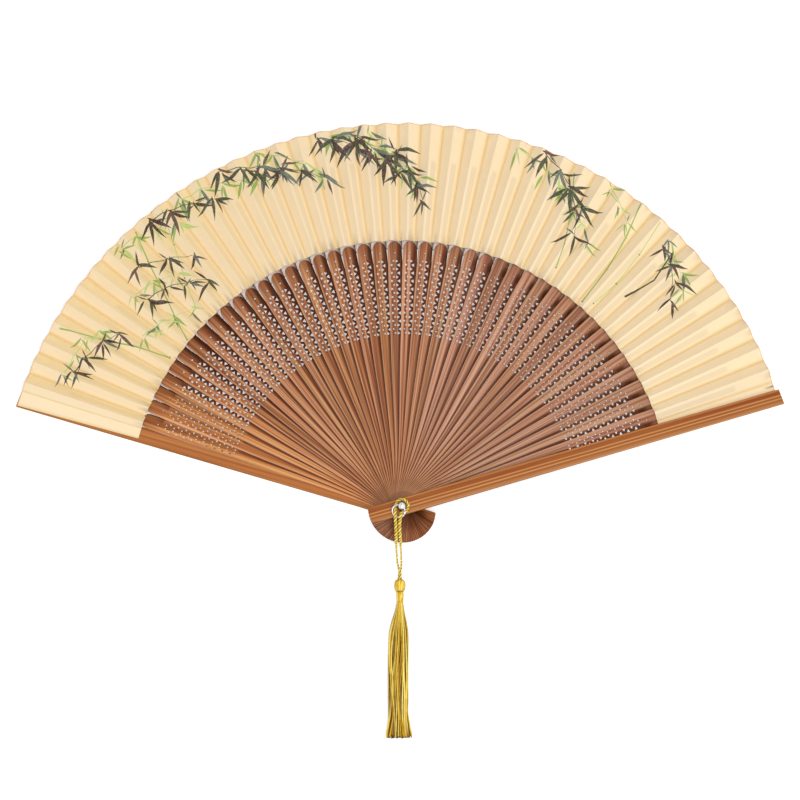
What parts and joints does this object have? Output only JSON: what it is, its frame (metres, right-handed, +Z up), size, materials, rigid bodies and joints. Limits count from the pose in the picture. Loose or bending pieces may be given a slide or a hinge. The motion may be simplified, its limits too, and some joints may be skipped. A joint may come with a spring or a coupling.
{
  "type": "folding fan",
  "caption": "Folding hand fan with pierced bamboo ribs and guards on one rivet, a pleated cream leaf, and a gold tassel on a ring.",
  "frame": {"origin": "on the pivot's axis, at the foot of the rivet, level with the rear guard's underside that the open fan lies on", "axes": "+Z up out of the fan's front face along the pivot's axis, +Y from the pivot to the middle of the leaf, +X towards the front guard"},
  "size_m": [0.3742, 0.3019, 0.0215],
  "materials": {
    "guard_bamboo": "stained bamboo with lengthwise grain, satin",
    "rib_bamboo": "stained bamboo slats, satin",
    "leaf_cloth": "cream sized cloth with a printed bamboo pattern, matt",
    "steel": "bright plated steel",
    "gold_yarn": "golden yellow silky yarn"
  },
  "bodies": {
    "rear_guard": {"rear_guard": "guard_bamboo", "leaf": "leaf_cloth"},
    "rib_01": {"rib_01": "rib_bamboo"},
    "rib_02": {"rib_02": "rib_bamboo"},
    "rib_03": {"rib_03": "rib_bamboo"},
    "rib_04": {"rib_04": "rib_bamboo"},
    "rib_05": {"rib_05": "rib_bamboo"},
    "rib_06": {"rib_06": "rib_bamboo"},
    "rib_07": {"rib_07": "rib_bamboo"},
    "rib_08": {"rib_08": "rib_bamboo"},
    "rib_09": {"rib_09": "rib_bamboo"},
    "rib_10": {"rib_10": "rib_bamboo"},
    "rib_11": {"rib_11": "rib_bamboo"},
    "rib_12": {"rib_12": "rib_bamboo"},
    "rib_13": {"rib_13": "rib_bamboo"},
    "rib_14": {"rib_14": "rib_bamboo"},
    "rib_15": {"rib_15": "rib_bamboo"},
    "rib_16": {"rib_16": "rib_bamboo"},
    "rib_17": {"rib_17": "rib_bamboo"},
    "rib_18": {"rib_18": "rib_bamboo"},
    "rib_19": {"rib_19": "rib_bamboo"},
    "rib_20": {"rib_20": "rib_bamboo"},
    "rib_21": {"rib_21": "rib_bamboo"},
    "rib_22": {"rib_22": "rib_bamboo"},
    "rib_23": {"rib_23": "rib_bamboo"},
    "rib_24": {"rib_24": "rib_bamboo"},
    "rib_25": {"rib_25": "rib_bamboo"},
    "rib_26": {"rib_26": "rib_bamboo"},
    "rib_27": {"rib_27": "rib_bamboo"},
    "rib_28": {"rib_28": "rib_bamboo"},
    "rib_29": {"rib_29": "rib_bamboo"},
    "rib_30": {"rib_30": "rib_bamboo"},
    "rib_31": {"rib_31": "rib_bamboo"},
    "rib_32": {"rib_32": "rib_bamboo"},
    "rib_33": {"rib_33": "rib_bamboo"},
    "rib_34": {"rib_34": "rib_bamboo"},
    "rib_35": {"rib_35": "rib_bamboo"},
    "rib_36": {"rib_36": "rib_bamboo"},
    "rib_37": {"rib_37": "rib_bamboo"},
    "rib_38": {"rib_38": "rib_bamboo"},
    "rib_39": {"rib_39": "rib_bamboo"},
    "rib_40": {"rib_40": "rib_bamboo"},
    "rib_41": {"rib_41": "rib_bamboo"},
    "rib_42": {"rib_42": "rib_bamboo"},
    "rib_43": {"rib_43": "rib_bamboo"},
    "front_guard": {"front_guard": "guard_bamboo"},
    "rivet": {"rivet_pin": "steel", "rivet_washer": "steel", "tassel_ring": "steel", "tassel_cord": "gold_yarn", "tassel_head": "gold_yarn", "tassel_neck": "gold_yarn", "tassel_skirt": "gold_yarn"}
  },
  "joints": [
    {"name": "fan_hinge", "type": "hinge", "parent": "rear_guard", "child": "front_guard", "pos_m": [0, 0, 0], "axis": [0, 0, 1], "range_deg": [0, 147.4], "deforming": ["leaf", "tassel_cord"]},
    {"name": "rib_01_hinge", "type": "hinge", "parent": "rear_guard", "child": "rib_01", "pos_m": [0, 0, 0], "axis": [0, 0, 1], "range_deg": [0, 3.24]},
    {"name": "rib_02_hinge", "type": "hinge", "parent": "rear_guard", "child": "rib_02", "pos_m": [0, 0, 0], "axis": [0, 0, 1], "range_deg": [0, 6.48]},
    {"name": "rib_03_hinge", "type": "hinge", "parent": "rear_guard", "child": "rib_03", "pos_m": [0, 0, 0], "axis": [0, 0, 1], "range_deg": [0, 9.72]},
    {"name": "rib_04_hinge", "type": "hinge", "parent": "rear_guard", "child": "rib_04", "pos_m": [0, 0, 0], "axis": [0, 0, 1], "range_deg": [0, 12.96]},
    {"name": "rib_05_hinge", "type": "hinge", "parent": "rear_guard", "child": "rib_05", "pos_m": [0, 0, 0], "axis": [0, 0, 1], "range_deg": [0, 16.2]},
    {"name": "rib_06_hinge", "type": "hinge", "parent": "rear_guard", "child": "rib_06", "pos_m": [0, 0, 0], "axis": [0, 0, 1], "range_deg": [0, 19.45]},
    {"name": "rib_07_hinge", "type": "hinge", "parent": "rear_guard", "child": "rib_07", "pos_m": [0, 0, 0], "axis": [0, 0, 1], "range_deg": [0, 22.7]},
    {"name": "rib_08_hinge", "type": "hinge", "parent": "rear_guard", "child": "rib_08", "pos_m": [0, 0, 0], "axis": [0, 0, 1], "range_deg": [0, 25.95]},
    {"name": "rib_09_hinge", "type": "hinge", "parent": "rear_guard", "child": "rib_09", "pos_m": [0, 0, 0], "axis": [0, 0, 1], "range_deg": [0, 29.21]},
    {"name": "rib_10_hinge", "type": "hinge", "parent": "rear_guard", "child": "rib_10", "pos_m": [0, 0, 0], "axis": [0, 0, 1], "range_deg": [0, 32.47]},
    {"name": "rib_11_hinge", "type": "hinge", "parent": "rear_guard", "child": "rib_11", "pos_m": [0, 0, 0], "axis": [0, 0, 1], "range_deg": [0, 35.74]},
    {"name": "rib_12_hinge", "type": "hinge", "parent": "rear_guard", "child": "rib_12", "pos_m": [0, 0, 0], "axis": [0, 0, 1], "range_deg": [0, 39.01]},
    {"name": "rib_13_hinge", "type": "hinge", "parent": "rear_guard", "child": "rib_13", "pos_m": [0, 0, 0], "axis": [0, 0, 1], "range_deg": [0, 42.29]},
    {"name": "rib_14_hinge", "type": "hinge", "parent": "rear_guard", "child": "rib_14", "pos_m": [0, 0, 0], "axis": [0, 0, 1], "range_deg": [0, 45.58]},
    {"name": "rib_15_hinge", "type": "hinge", "parent": "rear_guard", "child": "rib_15", "pos_m": [0, 0, 0], "axis": [0, 0, 1], "range_deg": [0, 48.87]},
    {"name": "rib_16_hinge", "type": "hinge", "parent": "rear_guard", "child": "rib_16", "pos_m": [0, 0, 0], "axis": [0, 0, 1], "range_deg": [0, 52.17]},
    {"name": "rib_17_hinge", "type": "hinge", "parent": "rear_guard", "child": "rib_17", "pos_m": [0, 0, 0], "axis": [0, 0, 1], "range_deg": [0, 55.48]},
    {"name": "rib_18_hinge", "type": "hinge", "parent": "rear_guard", "child": "rib_18", "pos_m": [0, 0, 0], "axis": [0, 0, 1], "range_deg": [0, 58.79]},
    {"name": "rib_19_hinge", "type": "hinge", "parent": "rear_guard", "child": "rib_19", "pos_m": [0, 0, 0], "axis": [0, 0, 1], "range_deg": [0, 62.12]},
    {"name": "rib_20_hinge", "type": "hinge", "parent": "rear_guard", "child": "rib_20", "pos_m": [0, 0, 0], "axis": [0, 0, 1], "range_deg": [0, 65.45]},
    {"name": "rib_21_hinge", "type": "hinge", "parent": "rear_guard", "child": "rib_21", "pos_m": [0, 0, 0], "axis": [0, 0, 1], "range_deg": [0, 68.78]},
    {"name": "rib_22_hinge", "type": "hinge", "parent": "rear_guard", "child": "rib_22", "pos_m": [0, 0, 0], "axis": [0, 0, 1], "range_deg": [0, 72.13]},
    {"name": "rib_23_hinge", "type": "hinge", "parent": "rear_guard", "child": "rib_23", "pos_m": [0, 0, 0], "axis": [0, 0, 1], "range_deg": [0, 75.48]},
    {"name": "rib_24_hinge", "type": "hinge", "parent": "rear_guard", "child": "rib_24", "pos_m": [0, 0, 0], "axis": [0, 0, 1], "range_deg": [0, 78.85]},
    {"name": "rib_25_hinge", "type": "hinge", "parent": "rear_guard", "child": "rib_25", "pos_m": [0, 0, 0], "axis": [0, 0, 1], "range_deg": [0, 82.22]},
    {"name": "rib_26_hinge", "type": "hinge", "parent": "rear_guard", "child": "rib_26", "pos_m": [0, 0, 0], "axis": [0, 0, 1], "range_deg": [0, 85.59]},
    {"name": "rib_27_hinge", "type": "hinge", "parent": "rear_guard", "child": "rib_27", "pos_m": [0, 0, 0], "axis": [0, 0, 1], "range_deg": [0, 88.98]},
    {"name": "rib_28_hinge", "type": "hinge", "parent": "rear_guard", "child": "rib_28", "pos_m": [0, 0, 0], "axis": [0, 0, 1], "range_deg": [0, 92.37]},
    {"name": "rib_29_hinge", "type": "hinge", "parent": "rear_guard", "child": "rib_29", "pos_m": [0, 0, 0], "axis": [0, 0, 1], "range_deg": [0, 95.77]},
    {"name": "rib_30_hinge", "type": "hinge", "parent": "rear_guard", "child": "rib_30", "pos_m": [0, 0, 0], "axis": [0, 0, 1], "range_deg": [0, 99.18]},
    {"name": "rib_31_hinge", "type": "hinge", "parent": "rear_guard", "child": "rib_31", "pos_m": [0, 0, 0], "axis": [0, 0, 1], "range_deg": [0, 102.59]},
    {"name": "rib_32_hinge", "type": "hinge", "parent": "rear_guard", "child": "rib_32", "pos_m": [0, 0, 0], "axis": [0, 0, 1], "range_deg": [0, 106.01]},
    {"name": "rib_33_hinge", "type": "hinge", "parent": "rear_guard", "child": "rib_33", "pos_m": [0, 0, 0], "axis": [0, 0, 1], "range_deg": [0, 109.44]},
    {"name": "rib_34_hinge", "type": "hinge", "parent": "rear_guard", "child": "rib_34", "pos_m": [0, 0, 0], "axis": [0, 0, 1], "range_deg": [0, 112.87]},
    {"name": "rib_35_hinge", "type": "hinge", "parent": "rear_guard", "child": "rib_35", "pos_m": [0, 0, 0], "axis": [0, 0, 1], "range_deg": [0, 116.31]},
    {"name": "rib_36_hinge", "type": "hinge", "parent": "rear_guard", "child": "rib_36", "pos_m": [0, 0, 0], "axis": [0, 0, 1], "range_deg": [0, 119.75]},
    {"name": "rib_37_hinge", "type": "hinge", "parent": "rear_guard", "child": "rib_37", "pos_m": [0, 0, 0], "axis": [0, 0, 1], "range_deg": [0, 123.2]},
    {"name": "rib_38_hinge", "type": "hinge", "parent": "rear_guard", "child": "rib_38", "pos_m": [0, 0, 0], "axis": [0, 0, 1], "range_deg": [0, 126.65]},
    {"name": "rib_39_hinge", "type": "hinge", "parent": "rear_guard", "child": "rib_39", "pos_m": [0, 0, 0], "axis": [0, 0, 1], "range_deg": [0, 130.1]},
    {"name": "rib_40_hinge", "type": "hinge", "parent": "rear_guard", "child": "rib_40", "pos_m": [0, 0, 0], "axis": [0, 0, 1], "range_deg": [0, 133.56]},
    {"name": "rib_41_hinge", "type": "hinge", "parent": "rear_guard", "child": "rib_41", "pos_m": [0, 0, 0], "axis": [0, 0, 1], "range_deg": [0, 137.02]},
    {"name": "rib_42_hinge", "type": "hinge", "parent": "rear_guard", "child": "rib_42", "pos_m": [0, 0, 0], "axis": [0, 0, 1], "range_deg": [0, 140.48]},
    {"name": "rib_43_hinge", "type": "hinge", "parent": "rear_guard", "child": "rib_43", "pos_m": [0, 0, 0], "axis": [0, 0, 1], "range_deg": [0, 143.94]},
    {"name": "tassel_swing", "type": "hinge", "parent": "rear_guard", "child": "rivet", "pos_m": [0, 0, 0], "axis": [0, 0, 1], "range_deg": [-20, 60]}
  ],
  "couplings": [
    {"joint": "rib_01_hinge", "follows": "fan_hinge", "ratio": 0.021967},
    {"joint": "rib_02_hinge", "follows": "fan_hinge", "ratio": 0.043939},
    {"joint": "rib_03_hinge", "follows": "fan_hinge", "ratio": 0.065918},
    {"joint": "rib_04_hinge", "follows": "fan_hinge", "ratio": 0.087908},
    {"joint": "rib_05_hinge", "follows": "fan_hinge", "ratio": 0.10991},
    {"joint": "rib_06_hinge", "follows": "fan_hinge", "ratio": 0.13194},
    {"joint": "rib_07_hinge", "follows": "fan_hinge", "ratio": 0.15399},
    {"joint": "rib_08_hinge", "follows": "fan_hinge", "ratio": 0.17606},
    {"joint": "rib_09_hinge", "follows": "fan_hinge", "ratio": 0.19816},
    {"joint": "rib_10_hinge", "follows": "fan_hinge", "ratio": 0.2203},
    {"joint": "rib_11_hinge", "follows": "fan_hinge", "ratio": 0.24247},
    {"joint": "rib_12_hinge", "follows": "fan_hinge", "ratio": 0.26468},
    {"joint": "rib_13_hinge", "follows": "fan_hinge", "ratio": 0.28693},
    {"joint": "rib_14_hinge", "follows": "fan_hinge", "ratio": 0.30922},
    {"joint": "rib_15_hinge", "follows": "fan_hinge", "ratio": 0.33156},
    {"joint": "rib_16_hinge", "follows": "fan_hinge", "ratio": 0.35395},
    {"joint": "rib_17_hinge", "follows": "fan_hinge", "ratio": 0.37638},
    {"joint": "rib_18_hinge", "follows": "fan_hinge", "ratio": 0.39887},
    {"joint": "rib_19_hinge", "follows": "fan_hinge", "ratio": 0.42141},
    {"joint": "rib_20_hinge", "follows": "fan_hinge", "ratio": 0.444},
    {"joint": "rib_21_hinge", "follows": "fan_hinge", "ratio": 0.46665},
    {"joint": "rib_22_hinge", "follows": "fan_hinge", "ratio": 0.48935},
    {"joint": "rib_23_hinge", "follows": "fan_hinge", "ratio": 0.5121},
    {"joint": "rib_24_hinge", "follows": "fan_hinge", "ratio": 0.53491},
    {"joint": "rib_25_hinge", "follows": "fan_hinge", "ratio": 0.55777},
    {"joint": "rib_26_hinge", "follows": "fan_hinge", "ratio": 0.58069},
    {"joint": "rib_27_hinge", "follows": "fan_hinge", "ratio": 0.60366},
    {"joint": "rib_28_hinge", "follows": "fan_hinge", "ratio": 0.62667},
    {"joint": "rib_29_hinge", "follows": "fan_hinge", "ratio": 0.64974},
    {"joint": "rib_30_hinge", "follows": "fan_hinge", "ratio": 0.67286},
    {"joint": "rib_31_hinge", "follows": "fan_hinge", "ratio": 0.69602},
    {"joint": "rib_32_hinge", "follows": "fan_hinge", "ratio": 0.71922},
    {"joint": "rib_33_hinge", "follows": "fan_hinge", "ratio": 0.74247},
    {"joint": "rib_34_hinge", "follows": "fan_hinge", "ratio": 0.76575},
    {"joint": "rib_35_hinge", "follows": "fan_hinge", "ratio": 0.78907},
    {"joint": "rib_36_hinge", "follows": "fan_hinge", "ratio": 0.81242},
    {"joint": "rib_37_hinge", "follows": "fan_hinge", "ratio": 0.8358},
    {"joint": "rib_38_hinge", "follows": "fan_hinge", "ratio": 0.85921},
    {"joint": "rib_39_hinge", "follows": "fan_hinge", "ratio": 0.88264},
    {"joint": "rib_40_hinge", "follows": "fan_hinge", "ratio": 0.90609},
    {"joint": "rib_41_hinge", "follows": "fan_hinge", "ratio": 0.92955},
    {"joint": "rib_42_hinge", "follows": "fan_hinge", "ratio": 0.95303},
    {"joint": "rib_43_hinge", "follows": "fan_hinge", "ratio": 0.97651}
  ]
}
